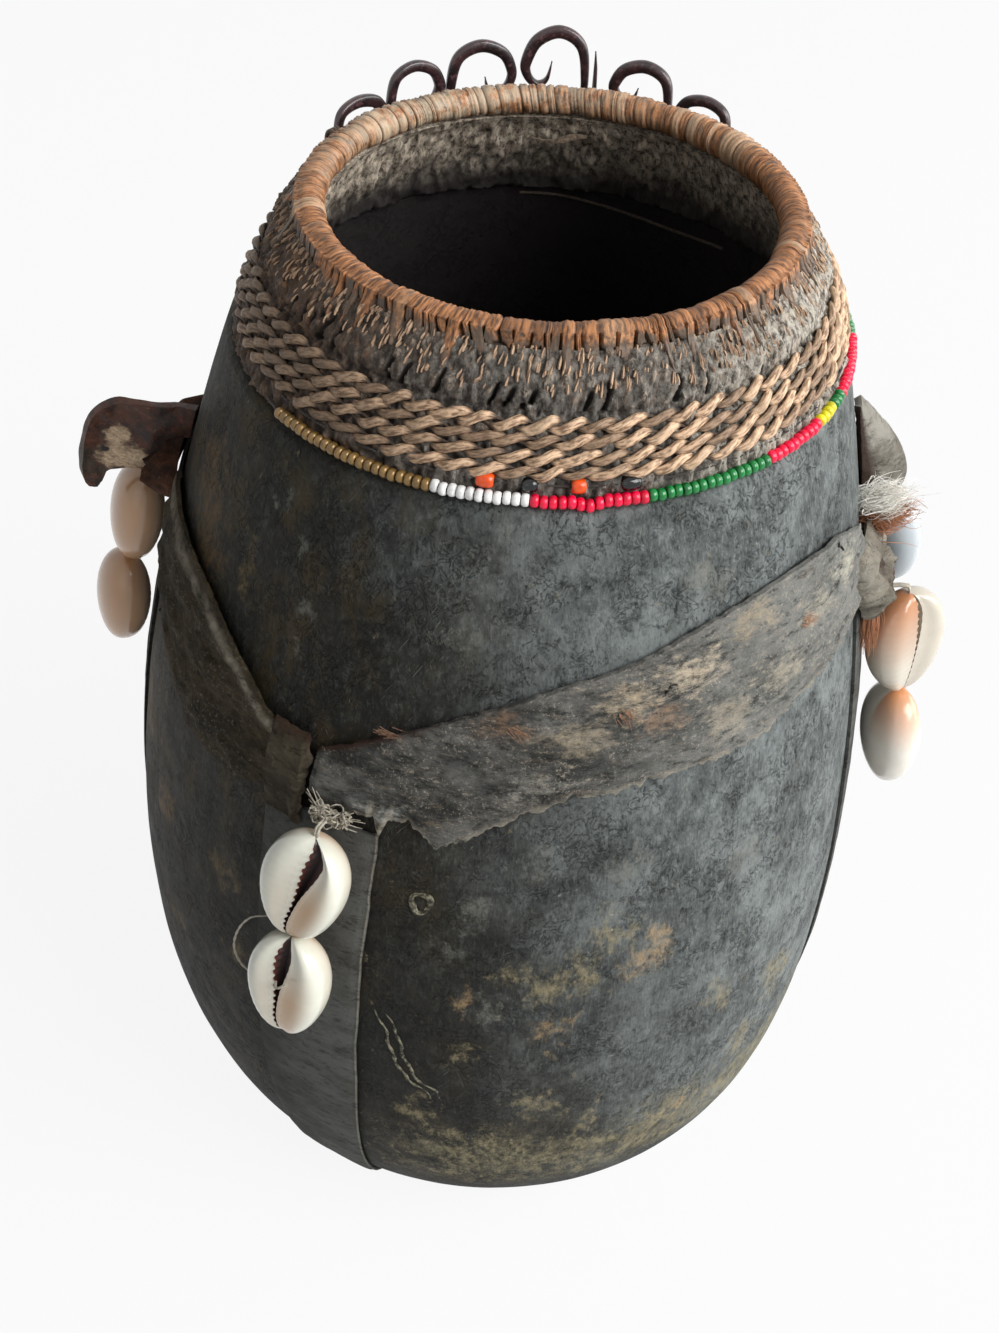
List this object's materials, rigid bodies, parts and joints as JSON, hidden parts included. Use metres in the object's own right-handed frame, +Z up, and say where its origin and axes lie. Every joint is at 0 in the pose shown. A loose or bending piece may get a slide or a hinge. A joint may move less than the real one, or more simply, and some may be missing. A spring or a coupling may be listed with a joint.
{
  "type": "beaded milk vessel",
  "caption": "Tall dark milk vessel with a basketry collar, a wrapped rim, a bead string, a hide harness, hanging cowrie shells and a scrolled crest behind its mouth.",
  "frame": {"origin": "on the ground under the middle of the base, where the vessel stands on its sewn hide pad", "axes": "+Z up along the vessel, -Y towards the viewer (the side with the front shells), +X to the viewer's right"},
  "size_m": [0.1949, 0.177, 0.2458],
  "materials": {
    "body_wood": "smoke-blackened and oiled, dusty and scuffed low down",
    "collar_basketry": "dark resin over stitched fibre, worn to brown on the ribs",
    "rim_withy": "peeled withy",
    "rim_fibre": "flat fibre wrapped close, handled to a low gloss",
    "twined_fibre": "two-ply twined fibre",
    "bead_gold": "glossy, slightly clear",
    "bead_white": "glossy, opaque",
    "bead_red": "glossy, opaque",
    "bead_green": "glossy, slightly clear",
    "bead_yellow": "glossy, opaque",
    "bead_orange": "glossy, opaque",
    "bead_black": "glossy, opaque",
    "pale_thread": "frayed cotton thread",
    "dark_thread": "dark waxed thread",
    "band_hide": "stiff goat hide, flesh side, dusty and scuffed",
    "strap_hide": "thin hide blackened with the body",
    "rawhide": "stiff dark rawhide with a scraped patch",
    "tail_hide": "grey suede-like hide",
    "hair": "coarse goat hair",
    "cowrie_shell": "polished shell, warm at the lips",
    "crest_strip": "dark strip with a reddish tint, satin"
  },
  "bodies": {
    "vessel": {"vessel_body": "body_wood", "base_pad": "strap_hide", "collar_wall": "collar_basketry", "rim_hoop": "rim_withy", "rim_binding": "rim_fibre", "collar_cord": "twined_fibre", "beads_gold_1": "bead_gold", "beads_white_1": "bead_white", "beads_red_1": "bead_red", "beads_green_1": "bead_green", "beads_red_2": "bead_red", "beads_yellow_1": "bead_yellow", "beads_green_2": "bead_green", "beads_red_3": "bead_red", "beads_green_3": "bead_green", "beads_white_2": "bead_white", "beads_gold_2": "bead_gold", "bead_thread": "pale_thread", "bead_orange_left": "bead_orange", "bead_black_middle": "bead_black", "bead_orange_right": "bead_orange", "bead_black_right": "bead_black", "large_bead_thread": "dark_thread", "band_front_right": "band_hide", "band_front_left": "band_hide", "band_back_right": "band_hide", "band_back_left": "band_hide", "strap_front": "strap_hide", "strap_left": "strap_hide", "strap_right": "strap_hide", "strap_back": "strap_hide", "fold_front": "band_hide", "knot_left": "band_hide", "knot_right": "band_hide", "knot_back": "band_hide", "tab_left": "rawhide", "arch_right": "tail_hide", "hair_tuft_upper": "hair", "hair_tuft_lower": "hair", "thread_knot_front": "pale_thread", "crest_band": "crest_strip", "scroll_left_outer": "crest_strip", "scroll_left_middle": "crest_strip", "scroll_left_inner": "crest_strip", "scroll_right_inner": "crest_strip", "scroll_right_middle": "crest_strip", "scroll_right_outer": "crest_strip", "crest_lashing_right": "dark_thread", "crest_lashing_left": "dark_thread"},
    "front_thread": {"thread_link_front": "pale_thread"},
    "front_upper_shell": {"cowrie_front_upper": "cowrie_shell"},
    "front_lower_shell": {"cowrie_front_lower": "cowrie_shell"},
    "left_thread": {"thread_link_left": "pale_thread"},
    "left_upper_shell": {"cowrie_left_upper": "cowrie_shell"},
    "left_lower_shell": {"cowrie_left_lower": "cowrie_shell"},
    "right_thread": {"thread_link_right": "pale_thread"},
    "right_upper_shell": {"cowrie_right_upper": "cowrie_shell"},
    "right_lower_shell": {"cowrie_right_lower": "cowrie_shell"},
    "right_back_thread": {"thread_link_right_back": "pale_thread"},
    "right_back_shell": {"cowrie_right_back": "cowrie_shell"}
  },
  "joints": [
    {"name": "front_sideways", "type": "hinge", "parent": "vessel", "child": "front_thread", "pos_m": [-0.03475, -0.07823, 0.14845], "axis": [0.3856, 0.8996, -0.2052], "range_deg": [-20, 20]},
    {"name": "front_upper_lift", "type": "hinge", "parent": "front_thread", "child": "front_upper_shell", "pos_m": [-0.0349, -0.07847, 0.1471], "axis": [-0.9086, 0.4089, 0.0855], "range_deg": [0, 60]},
    {"name": "front_lower_lift", "type": "hinge", "parent": "front_upper_shell", "child": "front_lower_shell", "pos_m": [-0.03998, -0.08221, 0.12118], "axis": [-0.9221, 0.3836, -0.0511], "range_deg": [0, 35]},
    {"name": "left_sideways", "type": "hinge", "parent": "vessel", "child": "left_thread", "pos_m": [-0.08034, 0.00419, 0.16881], "axis": [0.963, -0.0505, -0.2648], "range_deg": [-20, 20]},
    {"name": "left_upper_lift", "type": "hinge", "parent": "left_thread", "child": "left_upper_shell", "pos_m": [-0.08071, 0.0042, 0.16748], "axis": [0.0523, 0.9986, 0], "range_deg": [0, 30]},
    {"name": "left_lower_lift", "type": "hinge", "parent": "left_upper_shell", "child": "left_lower_shell", "pos_m": [-0.08761, 0.00451, 0.14231], "axis": [0.0523, 0.9986, 0], "range_deg": [0, 35]},
    {"name": "right_sideways", "type": "hinge", "parent": "vessel", "child": "right_thread", "pos_m": [0.0823, -0.01315, 0.16139], "axis": [-0.9718, 0.1539, -0.1787], "range_deg": [-20, 20]},
    {"name": "right_upper_lift", "type": "hinge", "parent": "right_thread", "child": "right_upper_shell", "pos_m": [0.08254, -0.0132, 0.16004], "axis": [-0.1564, -0.9877, 0], "range_deg": [0, 60]},
    {"name": "right_lower_lift", "type": "hinge", "parent": "right_upper_shell", "child": "right_lower_shell", "pos_m": [0.08738, -0.01413, 0.13288], "axis": [-0.1564, -0.9877, 0], "range_deg": [0, 35]},
    {"name": "right_back_sideways", "type": "hinge", "parent": "vessel", "child": "right_back_thread", "pos_m": [0.07979, 0.01127, 0.16947], "axis": [-0.9716, -0.1366, -0.1932], "range_deg": [-20, 20]},
    {"name": "right_back_lift", "type": "hinge", "parent": "right_back_thread", "child": "right_back_shell", "pos_m": [0.08005, 0.01132, 0.16812], "axis": [0.1392, -0.9903, 0], "range_deg": [0, 60]}
  ]
}
